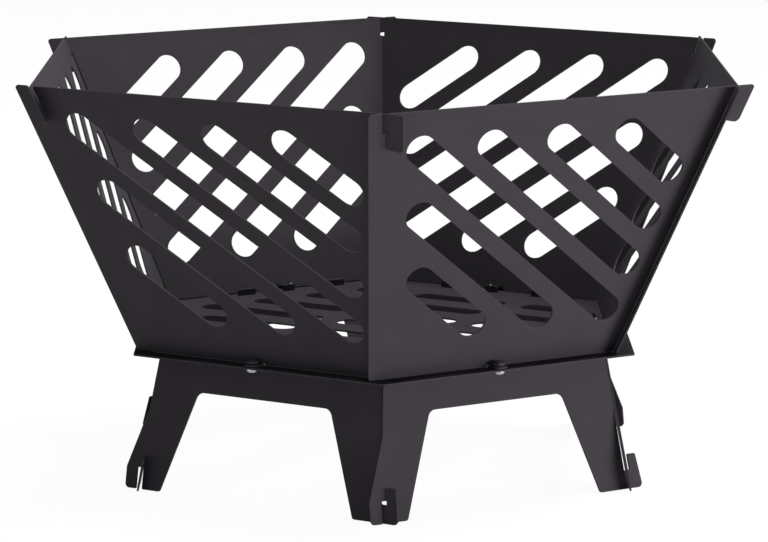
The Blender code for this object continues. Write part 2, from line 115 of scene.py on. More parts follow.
# Leg sheet
LEG_STRIP_REACH = 9.65
LEG_FLARE_FOOT = 13.7
LEG_FLARE_TOP = 52.4
LEG_FLARE_TOP_PAST = 1.8
LEG_TOP_PAST = 1.2
LEG_FOOT_CORNER = 3.0
LEG_SLOT_HEIGHT = 13.8
LEG_EAR_FOOT_REACH = 9.65
LEG_EAR_TOP_REACH = 8.0
LEG_EAR_HEIGHT = 22.0
LEG_EAR_CORNER = 1.2
LEG_EAR_SLOT_PAST = 1.9
LEG_EAR_SLOT_FLOOR = 11.6
LEG_EDGE_INSET = 2.2
LEG_MOUTH = 1.0
ARCH_TOP = 65.4
ARCH_TOP_LEFT_INSET = 31.7
ARCH_TOP_RIGHT_INSET = 38.1
ARCH_FOOT_LEFT_INSET = 16.2
ARCH_FOOT_RIGHT_INSET = 22.6
ARCH_CORNER = 5.2
ARCH_FOOT_CORNER = 2.0
LEG_TOP_CORNER = 1.0
PLUG_RISE = 4.5
PLUG_CORNER = 1.0
PLUGS = ((27.0, 13.0), (-5.8, 9.0), (-42.7, 13.0))

# M4 button-head screw and low hexagon nut
BOLT_APOTHEM = 152.3
HOLE_RADIUS = 2.25
THREAD_RADIUS = 1.95
THREAD_ROOT_RADIUS = 1.55
THREAD_PITCH = 0.7
SCREW_END_CHAMFER = 0.5
SCREW_STICK_OUT = 0.8
HEAD_RADIUS = 3.8
HEAD_HEIGHT = 2.2
HEAD_RIM = 0.4
HEAD_FLAT_RADIUS = 2.0
HEAD_DOME_STEPS = 8
SOCKET_ACROSS_FLATS = 2.5
SOCKET_DEPTH = 1.3
SOCKET_POINT = 0.3
NUT_ACROSS_FLATS = 7.0
NUT_HEIGHT = 2.2
NUT_FACE_RADIUS = 3.1
NUT_BORE_RADIUS = 2.05
NUT_CHAMFER_SLOPE = math.tan(math.radians(30.0))

# How finely the pieces are worked
ARC_STEP = math.radians(7.5)
TURNING_STEPS = 48
SHEET_EDGE = 0.15
SHEET_EDGE_STEPS = 3
SMALL_EDGE = 0.12
SMALL_EDGE_STEPS = 2
TAB_CORNER_STEPS = 8
EDGE_ANGLE = math.radians(30.0)
THREAD_ANGLE = math.radians(32.0)
LEVEL = 0.99
NEARLY_LEVEL = 0.9
NEARLY_ROUND = 0.9999
PINHOLE_SIDES = 4
WELD = 0.002

# Finishes
COAT_COLOUR = "#2C292D"
COAT_LIGHT_COLOUR = "#322F33"
SCREW_COLOUR = "#B4B2B7"
SCREW_DULL_COLOUR = "#98969B"
FLOOR_COLOUR = "#F2F2F2"
WHITE = "#FFFFFF"
COAT_ROUGHNESS = 0.62
PLATE_ROUGHNESS = 0.7
HARDWARE_ROUGHNESS = 0.55
COAT_SHINE = 0.02
NO_SHINE = 0.0
ZINC_ROUGHNESS = 0.3
FLOOR_ROUGHNESS = 0.9
PATCHES_PER_METRE = 38.0
PEEL_PER_METRE = 900.0
PEEL_SPREAD = 0.05
PEEL_STRENGTH = 0.25
PEEL_DEPTH = 0.02
SPOTS_PER_METRE = 900.0
MARKS_PER_METRE = 5000.0
MARK_SPREAD = 0.06
MARK_STRENGTH = 0.2
MARK_DEPTH = 0.005

# Studio: its floor and surroundings, and the place, width, height and power of each lamp
FLOOR_WIDTH = 12.0
FLOOR_GLOW = 0.95
DIM_STUDIO = 0.35
BRIGHT_STUDIO = 1.0
AIM_HEIGHT = 0.13
LAMPS = (
    ("low_softbox", (2.1, -1.2, 0.07), 1.5, 0.12, 75.0),
    ("left_softbox", (-2.1, -1.4, 0.07), 1.5, 0.12, 8.0),
    ("side_softbox", (0.95, 0.55, 2.0), 1.0, 1.0, 65.0),
    ("top_softbox", (0.2, -0.25, 2.4), 1.0, 1.0, 20.0),
)


def only(item):
    """Leave object mode and select one object alone."""
    if bpy.context.object and bpy.context.object.mode == "EDIT":
        bpy.ops.object.mode_set(mode="OBJECT")
    bpy.ops.object.select_all(action="DESELECT")
    item.select_set(True)
    bpy.context.view_layer.objects.active = item


def pick(item, kind, wanted):
    """In edit mode, select the vertices, edges or faces that are wanted and nothing else."""
    bpy.ops.mesh.select_mode(type=kind)
    bpy.ops.mesh.select_all(action="DESELECT")
    work = bmesh.from_edit_mesh(item.data)
    elements = {"VERT": work.verts, "EDGE": work.edges, "FACE": work.faces}[kind]
    for element in elements:
        if wanted(element):
            element.select_set(True)
    work.select_flush_mode()
    bmesh.update_edit_mesh(item.data)


def name_piece(item, name):
    item.name = name
    item.data.name = name
    return item


def place(item, matrix):
    """Put a piece in its place, with the place in its mesh."""
    only(item)
    item.matrix_world = matrix
    bpy.ops.object.transform_apply(location=True, rotation=True, scale=True)


def draw_chain(name, places):
    """A chain of edges drawn point by point, left in edit mode."""
    bpy.ops.object.select_all(action="DESELECT")
    bpy.ops.mesh.primitive_plane_add(size=SHEET * MM)
    item = name_piece(bpy.context.object, name)
    bpy.ops.object.mode_set(mode="EDIT")
    bpy.ops.mesh.select_mode(type="VERT")
    bpy.ops.mesh.select_all(action="SELECT")
    bpy.ops.mesh.merge(type="CENTER")
    bpy.ops.transform.translate(value=places[0] * MM)
    for before, after in zip(places, places[1:]):
        step = (after - before) * MM
        bpy.ops.mesh.extrude_region_move(TRANSFORM_OT_translate={"value": step})
    bpy.ops.mesh.select_all(action="SELECT")
    return item


def draw_sheet(name, corners):
    """A flat sheet cut to an outline of corners, each with its x, y and radius."""
    places = [Vector((x, y, 0.0)) for x, y, radius in corners]
    item = draw_chain(name, places + places[:1])
    bpy.ops.mesh.remove_doubles(threshold=WELD * MM)
    bpy.ops.mesh.edge_face_add()
    for index, (x, y, radius) in enumerate(corners):
        if radius == 0.0:
            continue
        here = places[index]
        to_before = places[index - 1] - here
        to_after = places[(index + 1) % len(places)] - here
        half_angle = to_before.angle(to_after) / 2
        corner = here * MM
        pick(item, "VERT", lambda vertex: (vertex.co - corner).length < WELD * MM)
        bpy.ops.mesh.bevel(
            affect="VERTICES",
            offset=radius / math.tan(half_angle) * MM,
            segments=max(2, math.ceil((math.pi - 2 * half_angle) / ARC_STEP)),
            profile=0.5,
            clamp_overlap=False,
        )
    bpy.ops.mesh.select_all(action="SELECT")
    bpy.ops.transform.translate(value=(0.0, 0.0, -SHEET / 2 * MM))
    bpy.ops.mesh.extrude_region_move(TRANSFORM_OT_translate={"value": (0.0, 0.0, SHEET * MM)})
    bpy.ops.mesh.select_all(action="SELECT")
    bpy.ops.mesh.normals_make_consistent(inside=False)
    bpy.ops.object.mode_set(mode="OBJECT")
    return item


def slot_cutter(start, end, width, corner):
    """A block as long and wide as a slot, its four upright edges rounded to the slot's corners."""
    run = end - start
    bpy.ops.object.select_all(action="DESELECT")
    bpy.ops.mesh.primitive_cube_add(size=1.0)
    item = name_piece(bpy.context.object, "slot_cutter")
    bpy.ops.object.mode_set(mode="EDIT")
    bpy.ops.mesh.select_all(action="SELECT")
    size = (run.length * MM, width * MM, 4 * SHEET * MM)
    bpy.ops.transform.resize(value=size)
    pick(item, "EDGE", lambda edge: abs(edge.verts[0].co.z - edge.verts[1].co.z) > SHEET * MM)
    bpy.ops.mesh.bevel(
        affect="EDGES",
        offset=corner * MM,
        segments=math.ceil(math.pi / 2 / ARC_STEP),
        profile=0.5,
        clamp_overlap=False,
    )
    bpy.ops.mesh.select_all(action="SELECT")
    bpy.ops.mesh.remove_doubles(threshold=WELD * MM)
    bpy.ops.object.mode_set(mode="OBJECT")
    middle = (start + end) / 2 * MM
    turn = Matrix.Rotation(math.atan2(run.y, run.x), 4, "Z")
    place(item, Matrix.Translation((middle.x, middle.y, 0.0)) @ turn)
    return item


def round_slot(start, end, width):
    """The cutter of a slot whose round ends are centred on start and end."""
    reach = (end - start).normalized() * width / 2
    return slot_cutter(start - reach, end + reach, width, width / 2 * NEARLY_ROUND)


def drill(centre, radius, height, depth):
    bpy.ops.object.select_all(action="DESELECT")
    bpy.ops.mesh.primitive_cylinder_add(
        vertices=TURNING_STEPS,
        radius=radius * MM,
        depth=depth * MM,
        location=(centre.x * MM, centre.y * MM, height * MM),
    )
    item = name_piece(bpy.context.object, "drill")
    bpy.ops.object.transform_apply(location=True, rotation=True, scale=True)
    return item


def combine(item, others, operation):
    """Cut other shapes from a piece, join them to it or keep what they share, in one step."""
    only(others[0])
    for other in others[1:]:
        other.select_set(True)
    if len(others) > 1:
        bpy.ops.object.join()
    tool = others[0]
    step = item.modifiers.new("step", "BOOLEAN")
    step.operation = operation
    step.solver = "EXACT"
    step.object = tool
    only(item)
    bpy.ops.object.modifier_apply(modifier=step.name)
    bpy.data.objects.remove(tool, do_unlink=True)


def soften_edges(item, width, segments):
    """Round over every sharp edge and keep the flats flat to the eye."""
    only(item)
    bpy.ops.object.shade_smooth()
    edge = item.modifiers.new("edge", "BEVEL")
    edge.width = width * MM
    edge.segments = segments
    edge.limit_method = "ANGLE"
    edge.angle_limit = EDGE_ANGLE
    edge.harden_normals = True
    edge.use_clamp_overlap = True
    bpy.ops.object.modifier_apply(modifier=edge.name)


def mend(item):
    """Merge points that lie together, take out needle faces and close the pinholes they leave."""
    only(item)
    bpy.ops.object.mode_set(mode="EDIT")
    bpy.ops.mesh.select_mode(type="VERT")
    bpy.ops.mesh.select_all(action="SELECT")
    bpy.ops.mesh.remove_doubles(threshold=WELD * MM)
    bpy.ops.mesh.select_all(action="SELECT")
    bpy.ops.mesh.dissolve_degenerate(threshold=WELD * MM)
    bpy.ops.mesh.select_all(action="SELECT")
    bpy.ops.mesh.fill_holes(sides=PINHOLE_SIDES)
    bpy.ops.object.mode_set(mode="OBJECT")


def side_turn(index):
    return Matrix.Rotation(FIRST_SIDE + SIDE_ANGLE * index, 4, "Z")


def six_round(item, name, node_name):
    """Six copies of a piece that faces +X, one at each side, that stand for six CAD nodes."""
    for index in range(SIDES):
        only(item)
        bpy.ops.object.duplicate(linked=False)
        piece = name_piece(bpy.context.object, "%s_%d" % (name, index + 1))
        place(piece, side_turn(index))
        hand_over(piece, "%s_%d" % (node_name, index + 1))
    bpy.data.objects.remove(item, do_unlink=True)


def hand_over(piece, node_name):
    """Let a finished piece stand for a CAD node."""
    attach(piece, "root")
    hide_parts(node_name)


def wall_frame(apothem, height, lean):
    """Frame of a wall facing +X: X runs right as seen from outside, Y up the wall, Z outwards."""
    turned = Matrix.Identity(4)
    turned.col[0] = (0.0, 1.0, 0.0, 0.0)
    turned.col[1] = (math.sin(lean), 0.0, math.cos(lean), 0.0)
    turned.col[2] = (math.cos(lean), 0.0, -math.sin(lean), 0.0)
    turned.col[3] = (apothem * MM, 0.0, height * MM, 1.0)
    return turned


def slot_half_width(lean, gap):
    """Half the width of a slot that a neighbour's leaning sheet crosses with a gap each side."""
    cosine = math.cos(lean) ** 2 * math.cos(SIDE_ANGLE) + math.sin(lean) ** 2
    turn = math.acos(cosine)
    return SHEET / 2 / math.tan(turn / 2) + gap / math.sin(turn)


class CornerLines:
    """The two lines where a wall's middle plane meets its neighbours' middle planes."""

    def __init__(self, foot_half, top_half, rise):
        self.foot_half = foot_half
        self.slope = (top_half - foot_half) / rise
        self.angle = math.atan(self.slope)

    def level(self, side, past, height, radius):
        """A corner on a level edge, the given distance square past the line."""
        half = self.foot_half + height * self.slope + past / math.cos(self.angle)
        return (side * half, height, radius)

    def square(self, side, past, height, radius):
        """A corner square to the line from the line's own point at the given height."""
        half = self.foot_half + height * self.slope + past * math.cos(self.angle)
        return (side * half, height - past * math.sin(self.angle), radius)


def linear(hex_colour):
    """Linear colour from an sRGB hex value."""
    channels = []
    for start in (1, 3, 5):
        value = int(hex_colour[start:start + 2], 16) / 255
        if value <= 0.04045:
            channels.append(value / 12.92)
        else:
            channels.append(((value + 0.055) / 1.055) ** 2.4)
    return (*channels, 1.0)


def add_node(tree, kind, settings, links):
    """A node with its properties and socket values set and its inputs linked."""
    node = tree.nodes.new(kind)
    for name, value in settings.items():
        if isinstance(name, str) and hasattr(node, name):
            setattr(node, name, value)
        else:
            node.inputs[name].default_value = value
    for name, source in links.items():
        tree.links.new(source, node.inputs[name])
    return node


def new_finish(name):
    """A material with only its shader and output, its tree and the shader."""
    material = bpy.data.materials.new(name)
    material.use_nodes = True
    tree = material.node_tree
    return material, tree, tree.nodes["Principled BSDF"]


def tint_between(tree, shader, colour, other_colour, factor):
    tint = add_node(tree, "ShaderNodeMix", {"data_type": "RGBA"}, {"Factor": factor})
    tint.inputs[6].default_value = linear(colour)
    tint.inputs[7].default_value = linear(other_colour)
    tree.links.new(tint.outputs[2], shader.inputs["Base Color"])


def powder_coat(name, colour, light_colour, roughness, specular):
    """Black polyester powder coat baked on sheet steel: fine orange peel and a soft, even sheen."""
    material, tree, shader = new_finish(name)
    place_on = add_node(tree, "ShaderNodeTexCoord", {}, {}).outputs["Object"]
    # Cloudy patches about 25 mm across, where the coat lies thicker
    patches = {"Scale": PATCHES_PER_METRE, "Detail": 4.0}
    mottle = add_node(tree, "ShaderNodeTexNoise", patches, {"Vector": place_on})
    tint_between(tree, shader, colour, light_colour, mottle.outputs["Fac"])
    # Orange peel with bumps about 1 mm across
    bumps = {"Scale": PEEL_PER_METRE, "Detail": 2.0}
    peel = add_node(tree, "ShaderNodeTexNoise", bumps, {"Vector": place_on})
    rough = add_node(
        tree,
        "ShaderNodeMapRange",
        {"To Min": roughness - PEEL_SPREAD, "To Max": roughness + PEEL_SPREAD},
        {"Value": peel.outputs["Fac"]},
    )
    tree.links.new(rough.outputs["Result"], shader.inputs["Roughness"])
    bump = add_node(
        tree,
        "ShaderNodeBump",
        {"Strength": PEEL_STRENGTH, "Distance": PEEL_DEPTH * MM},
        {"Height": peel.outputs["Fac"]},
    )
    tree.links.new(bump.outputs["Normal"], shader.inputs["Normal"])
    shader.inputs["Specular IOR Level"].default_value = specular
    return material


def plated_steel(name, colour, other_colour, roughness):
    """Plated steel hardware: a metal's own colour in soft spots, and faint turning marks."""
    material, tree, shader = new_finish(name)
    place_on = add_node(tree, "ShaderNodeTexCoord", {}, {}).outputs["Object"]
    # Spots about 1 mm across, where the plating changes colour
    dull = {"Scale": SPOTS_PER_METRE, "Detail": 3.0}
    spots = add_node(tree, "ShaderNodeTexNoise", dull, {"Vector": place_on})
    tint_between(tree, shader, colour, other_colour, spots.outputs["Fac"])
    # Marks about 0.2 mm apart
    fine = {"Scale": MARKS_PER_METRE, "Detail": 1.0}
    marks = add_node(tree, "ShaderNodeTexNoise", fine, {"Vector": place_on})
    rough = add_node(
        tree,
        "ShaderNodeMapRange",
        {"To Min": roughness - MARK_SPREAD, "To Max": roughness + MARK_SPREAD},
        {"Value": marks.outputs["Fac"]},
    )
    tree.links.new(rough.outputs["Result"], shader.inputs["Roughness"])
    bump = add_node(
        tree,
        "ShaderNodeBump",
        {"Strength": MARK_STRENGTH, "Distance": MARK_DEPTH * MM},
        {"Height": marks.outputs["Fac"]},
    )
    tree.links.new(bump.outputs["Normal"], shader.inputs["Normal"])
    shader.inputs["Metallic"].default_value = 1.0
    return material


def seen_directly(tree):
    """One for rays from the camera, reflections and clear pieces, and none for plain light."""
    ray = add_node(tree, "ShaderNodeLightPath", {}, {})
    direct = add_node(
        tree,
        "ShaderNodeMath",
        {"operation": "MAXIMUM"},
        {0: ray.outputs["Is Camera Ray"], 1: ray.outputs["Is Glossy Ray"]},
    )
    either = add_node(
        tree,
        "ShaderNodeMath",
        {"operation": "MAXIMUM"},
        {0: direct.outputs["Value"], 1: ray.outputs["Is Transmission Ray"]},
    )
    return either.outputs["Value"]


def paint(item, *finishes):
    """Give a piece its finishes, the first of them all over."""
    item.data.materials.clear()
    for finish in finishes:
        item.data.materials.append(finish)


def paint_second(item, wanted):
    """Put a piece's second finish on the faces that are wanted."""
    only(item)
    bpy.ops.object.mode_set(mode="EDIT")
    pick(item, "FACE", wanted)
    item.active_material_index = 1
    bpy.ops.object.material_slot_assign()
    bpy.ops.object.mode_set(mode="OBJECT")


# The even satin black of the bowl and legs
bowl_coat = powder_coat("satin_black_powder_coat", COAT_COLOUR, COAT_LIGHT_COLOUR, COAT_ROUGHNESS, COAT_SHINE)
# The same black without sheen, so that the plate stays dark when seen nearly edge on
plate_coat = powder_coat("matt_black_powder_coat", COAT_COLOUR, COAT_LIGHT_COLOUR, PLATE_ROUGHNESS, NO_SHINE)
# The small bright screw heads under the rim
screw_zinc = plated_steel("bright_zinc_plated_steel", SCREW_COLOUR, SCREW_DULL_COLOUR, ZINC_ROUGHNESS)
# Black coat on the nuts, and painted shade on the zinc screws' thread ends above the plate: both stay dark
# and don't stand out from the bowl behind them
nut_coat_and_painted_shade = powder_coat(
    "black_nut_coat_and_painted_shade", COAT_COLOUR, COAT_LIGHT_COLOUR, HARDWARE_ROUGHNESS, COAT_SHINE
)

# Lean of the bowl's walls and their length up the slope
bowl_foot_apothem = BOWL_FOOT_RADIUS * APOTHEM
bowl_rise = RIM_HEIGHT - PLATE_TOP - SEAT_GAP
bowl_run = (RIM_RADIUS - BOWL_FOOT_RADIUS) * APOTHEM
bowl_lean = math.atan2(bowl_run, bowl_rise)
bowl_edge_drop = SHEET / 2 * math.sin(bowl_lean)
bowl_foot_height = PLATE_TOP + SEAT_GAP + bowl_edge_drop
bowl_length = (bowl_rise - 2 * bowl_edge_drop) / math.cos(bowl_lean)
bowl_lines = CornerLines(BOWL_FOOT_RADIUS * HALF_SIDE, RIM_RADIUS * HALF_SIDE, bowl_length)
bowl_slot = slot_half_width(bowl_lean, BOWL_CROSSING_GAP)
bowl_frame = wall_frame(bowl_foot_apothem, bowl_foot_height, bowl_lean)

# Lean of the legs, which narrow upwards, and their length up the slope
leg_run = (LEG_TOP_RADIUS - LEG_FOOT_RADIUS) * APOTHEM
leg_lean = math.atan2(leg_run, PLATE_MIDDLE)
leg_edge_drop = SHEET / 2 * math.sin(-leg_lean)
leg_length = (PLATE_UNDERSIDE - SEAT_GAP - 2 * leg_edge_drop) / math.cos(leg_lean)
leg_full_length = PLATE_MIDDLE / math.cos(leg_lean)
leg_lines = CornerLines(LEG_FOOT_RADIUS * HALF_SIDE, LEG_TOP_RADIUS * HALF_SIDE, leg_full_length)
leg_slot = slot_half_width(leg_lean, LEG_CROSSING_GAP)
leg_slot_outer = leg_lines.level(-1, leg_slot, 0.0, 0.0)[0]
leg_slot_inner = leg_lines.level(-1, -leg_slot, LEG_SLOT_HEIGHT, 0.0)[0]
leg_strip_end = leg_lines.level(-1, LEG_STRIP_REACH, 0.0, 0.0)[0]
leg_frame = wall_frame(LEG_FOOT_RADIUS * APOTHEM, leg_edge_drop, leg_lean)
plug_top = leg_length + (SHEET + SEAT_GAP + PLUG_RISE) / math.cos(leg_lean)

# Height of the tab's bend above the wall's foot edge
bend_outer_radius = TAB_BEND_RADIUS + SHEET
bend_middle_radius = TAB_BEND_RADIUS + SHEET / 2
bend_axis_height = PLATE_TOP + SEAT_GAP + bend_outer_radius
bend_rise = bend_axis_height - bowl_foot_height + bend_middle_radius * math.sin(bowl_lean)
bend_root = bend_rise / math.cos(bowl_lean)
bend_axis = Vector((TAB_CENTRE, bend_root, bend_middle_radius))
bend_apothem = (bowl_frame @ (bend_axis * MM)).x / MM
tab_length = bowl_foot_apothem + TAB_END_FROM_WALL - bend_apothem


def bowl_corners():
    """The outline of a bowl wall as it is cut, from its left end round by the foot."""
    left = -1
    right = 1
    top = bowl_length
    tab_left = TAB_CENTRE - TAB_WIDTH / 2
    tab_right = TAB_CENTRE + TAB_WIDTH / 2
    relief_top = bend_root + RELIEF_RISE
    ear_foot = top - EAR_HEIGHT
    return [
        bowl_lines.level(left, STRIP_REACH, 0.0, STRIP_CORNER),
        (tab_left - RELIEF_WIDTH, 0.0, 0.0),
        (tab_left - RELIEF_WIDTH, relief_top, 0.0),
        (tab_left, relief_top, 0.0),
        (tab_left, bend_root, 0.0),
        (tab_right, bend_root, 0.0),
        (tab_right, relief_top, 0.0),
        (tab_right + RELIEF_WIDTH, relief_top, 0.0),
        (tab_right + RELIEF_WIDTH, 0.0, 0.0),
        bowl_lines.level(right, -bowl_slot, 0.0, BOWL_EDGE_CORNER),
        bowl_lines.square(right, -bowl_slot, top - EAR_SLOT_TOP, 0.0),
        bowl_lines.square(right, bowl_slot, top - EAR_SLOT_TOP, 0.0),
        bowl_lines.square(right, bowl_slot, ear_foot, BOWL_MOUTH),
        bowl_lines.square(right, EAR_REACH, ear_foot, EAR_FOOT_CORNER),
        bowl_lines.level(right, EAR_REACH, top, EAR_TOP_CORNER),
        bowl_lines.level(left, -bowl_slot, top, BOWL_MOUTH),
        bowl_lines.square(left, -bowl_slot, top - STRIP_SLOT_DEPTH, 0.0),
        bowl_lines.square(left, bowl_slot, top - STRIP_SLOT_DEPTH, 0.0),
        bowl_lines.level(left, bowl_slot, top, BOWL_MOUTH),
        bowl_lines.level(left, STRIP_REACH, top, STRIP_CORNER),
    ]


def vent_cutters():
    """Six parallel slots whose round ends stand on the four lines of an inset trapezoid."""
    high = bowl_length - VENT_TOP_INSET
    low = VENT_FOOT_INSET
    top_left = Vector(bowl_lines.level(-1, -VENT_SIDE_INSET, high, 0.0)[:2])
    foot_right = Vector(bowl_lines.level(1, -VENT_SIDE_INSET, low, 0.0)[:2])
    fall = (foot_right.y - top_left.y) / (foot_right.x - top_left.x)
    vents = [round_slot(top_left, foot_right, VENT_WIDTH)]
    for count in range(1, VENTS_RIGHT + 1):
        start = top_left + Vector((VENT_PITCH * count, 0.0))
        gap = foot_right.x + bowl_lines.slope * (start.y - low) - start.x
        run = gap / (1 - bowl_lines.slope * fall)
        vents.append(round_slot(start, start + Vector((run, run * fall)), VENT_WIDTH))
    for count in range(1, VENTS_LEFT + 1):
        end = foot_right - Vector((VENT_PITCH * count, 0.0))
        gap = end.x - top_left.x - bowl_lines.slope * (high - end.y)
        run = gap / (1 + bowl_lines.slope * fall)
        vents.append(round_slot(end - Vector((run, run * fall)), end, VENT_WIDTH))
    return vents


def bend_foot_tab(item):
    """Spin the tab's root outwards about the bend, draw the tab out flat and round its corners."""
    only(item)
    bpy.ops.object.mode_set(mode="EDIT")

    def root(face):
        centre = face.calc_center_median()
        facing_down = face.normal.y < -LEVEL
        at_root = abs(centre.y - bend_root * MM) < WELD * MM
        in_tab = abs(centre.x - TAB_CENTRE * MM) < WELD * MM
        return facing_down and at_root and in_tab

    pick(item, "FACE", root)
    bpy.ops.mesh.spin(
        steps=TAB_BEND_STEPS,
        dupli=False,
        angle=math.pi / 2 + bowl_lean,
        center=bend_axis * MM,
        axis=(1.0, 0.0, 0.0),
    )
    outwards = Vector((0.0, math.sin(bowl_lean), math.cos(bowl_lean)))
    bpy.ops.mesh.extrude_region_move(TRANSFORM_OT_translate={"value": outwards * tab_length * MM})
    end_reach = (bend_axis * MM).dot(outwards) + tab_length * MM

    def end_edge(edge):
        at_end = all(abs(vertex.co.dot(outwards) - end_reach) < WELD * MM for vertex in edge.verts)
        return at_end and edge.calc_length() < TAB_WIDTH / 2 * MM

    pick(item, "EDGE", end_edge)
    bpy.ops.mesh.bevel(affect="EDGES", offset=TAB_CORNER * MM, segments=TAB_CORNER_STEPS, profile=0.5)
    bpy.ops.mesh.select_all(action="SELECT")
    bpy.ops.mesh.remove_doubles(threshold=WELD * MM)
    bpy.ops.mesh.normals_make_consistent(inside=False)
    bpy.ops.object.mode_set(mode="OBJECT")


# Bowl walls
wall = draw_sheet("bowl_wall", bowl_corners())
combine(wall, vent_cutters(), "DIFFERENCE")
bend_foot_tab(wall)
place(wall, bowl_frame)
screw_place = Vector((BOLT_APOTHEM, TAB_CENTRE))
combine(wall, [drill(screw_place, HOLE_RADIUS, PLATE_TOP, 4 * SHEET)], "DIFFERENCE")
soften_edges(wall, SHEET_EDGE, SHEET_EDGE_STEPS)
paint(wall, bowl_coat)
six_round(wall, "bowl_wall", "bowl_panel")


def leg_corners():
    """The outline of a leg sheet as it is cut, from its left foot round by the arch."""
    left = -1
    right = 1
    top = leg_length
    corners = [
        (leg_strip_end, 0.0, LEG_FOOT_CORNER),
        (leg_slot_outer, 0.0, LEG_MOUTH),
        (leg_slot_outer, LEG_SLOT_HEIGHT, 0.0),
        (leg_slot_inner, LEG_SLOT_HEIGHT, 0.0),
        (leg_slot_inner, 0.0, LEG_MOUTH),
        leg_lines.level(left, -ARCH_FOOT_LEFT_INSET, 0.0, ARCH_FOOT_CORNER),
        leg_lines.level(left, -ARCH_TOP_LEFT_INSET, ARCH_TOP, ARCH_CORNER),
        leg_lines.level(right, -ARCH_TOP_RIGHT_INSET, ARCH_TOP, ARCH_CORNER),
        leg_lines.level(right, -ARCH_FOOT_RIGHT_INSET, 0.0, ARCH_FOOT_CORNER),
        leg_lines.level(right, LEG_EAR_FOOT_REACH, 0.0, LEG_FOOT_CORNER),
        leg_lines.level(right, LEG_EAR_TOP_REACH, LEG_EAR_HEIGHT, LEG_EAR_CORNER),
        leg_lines.level(right, LEG_EAR_SLOT_PAST, LEG_EAR_HEIGHT, LEG_MOUTH),
        leg_lines.level(right, LEG_EAR_SLOT_PAST, LEG_EAR_SLOT_FLOOR, LEG_MOUTH),
        leg_lines.level(right, -LEG_EDGE_INSET, LEG_EAR_SLOT_FLOOR, LEG_MOUTH),
        leg_lines.level(right, -leg_slot, top, LEG_TOP_CORNER),
    ]
    for centre, width in PLUGS:
        corners.append((centre + width / 2, top, 0.0))
        corners.append((centre + width / 2, plug_top, PLUG_CORNER))
        corners.append((centre - width / 2, plug_top, PLUG_CORNER))
        corners.append((centre - width / 2, top, 0.0))
    corners.append(leg_lines.level(left, LEG_TOP_PAST, top, LEG_TOP_CORNER))
    corners.append(leg_lines.level(left, LEG_FLARE_TOP_PAST, LEG_FLARE_TOP, 0.0))
    corners.append((leg_strip_end, LEG_FLARE_FOOT, 0.0))
    return corners


# Leg sheets
leg = draw_sheet("leg_sheet", leg_corners())
soften_edges(leg, SHEET_EDGE, SHEET_EDGE_STEPS)
paint(leg, bowl_coat)
place(leg, leg_frame)
six_round(leg, "leg_sheet", "leg_panel")


def floor_slot_cutters():
    """Rows of round-ended slots, three in a row, that shorten with the hexagon."""
    along = Vector((math.cos(FLOOR_DIRECTION), math.sin(FLOOR_DIRECTION)))
    across = Vector((-along.y, along.x))
    end_inset = FLOOR_SLOT_WIDTH / 2
    slots = []
    for row in range(-FLOOR_ROWS_EACH_WAY, FLOOR_ROWS_EACH_WAY + 1):
        middle = across * (FLOOR_ROW_PITCH * row)
        outer_end = FLOOR_OUTER_END - abs(FLOOR_ROW_PITCH * row) * HALF_SIDE / APOTHEM
        spans = (
            (-outer_end, -FLOOR_OUTER_START),
            (-FLOOR_MIDDLE_HALF, FLOOR_MIDDLE_HALF),
            (FLOOR_OUTER_START, outer_end),
        )
        for low, high in spans:
            start = middle + along * (low + end_inset)
            end = middle + along * (high - end_inset)
            slots.append(round_slot(start, end, FLOOR_SLOT_WIDTH))
    return slots


def fixing_cutters():
    """The plug slots and screw holes of all six sides."""
    plug_half = SHEET / 2 / math.cos(leg_lean) + SHEET / 2 * math.tan(-leg_lean) + PLUG_GAP
    plug_apothem = LEG_TOP_RADIUS * APOTHEM
    cutters = []
    for index in range(SIDES):
        turn = side_turn(index).to_2x2()
        for centre, width in PLUGS:
            half = width / 2 + PLUG_GAP
            start = turn @ Vector((plug_apothem, centre - half))
            end = turn @ Vector((plug_apothem, centre + half))
            cutters.append(slot_cutter(start, end, 2 * plug_half, PLUG_GAP))
        cutters.append(drill(turn @ screw_place, HOLE_RADIUS, 0.0, 4 * SHEET))
    return cutters


# Floor plate
plate_edge = []
for index in range(SIDES):
    angle = math.radians(90.0) + SIDE_ANGLE * index
    plate_edge.append((PLATE_RADIUS * math.cos(angle), PLATE_RADIUS * math.sin(angle), PLATE_CORNER))
plate = draw_sheet("floor_plate", plate_edge)
combine(plate, floor_slot_cutters() + fixing_cutters(), "DIFFERENCE")
soften_edges(plate, SHEET_EDGE, SHEET_EDGE_STEPS)
paint(plate, plate_coat, bowl_coat)
paint_second(plate, lambda face: abs(face.normal.z) < NEARLY_LEVEL)
place(plate, Matrix.Translation((0.0, 0.0, PLATE_MIDDLE * MM)))
hand_over(plate, "base_plate")


def turn_profile(name, profile):
    """A piece turned about Z from radius and height pairs that run from axis to axis."""
    item = draw_chain(name, [Vector((radius, 0.0, height)) for radius, height in profile])
    bpy.ops.mesh.spin(
        steps=TURNING_STEPS,
        dupli=False,
        angle=2 * math.pi,
        center=(0.0, 0.0, 0.0),
        axis=(0.0, 0.0, 1.0),
    )
    bpy.ops.mesh.select_all(action="SELECT")
    bpy.ops.mesh.remove_doubles(threshold=WELD * MM)
    bpy.ops.mesh.normals_make_consistent(inside=False)
    bpy.ops.object.mode_set(mode="OBJECT")
    return item


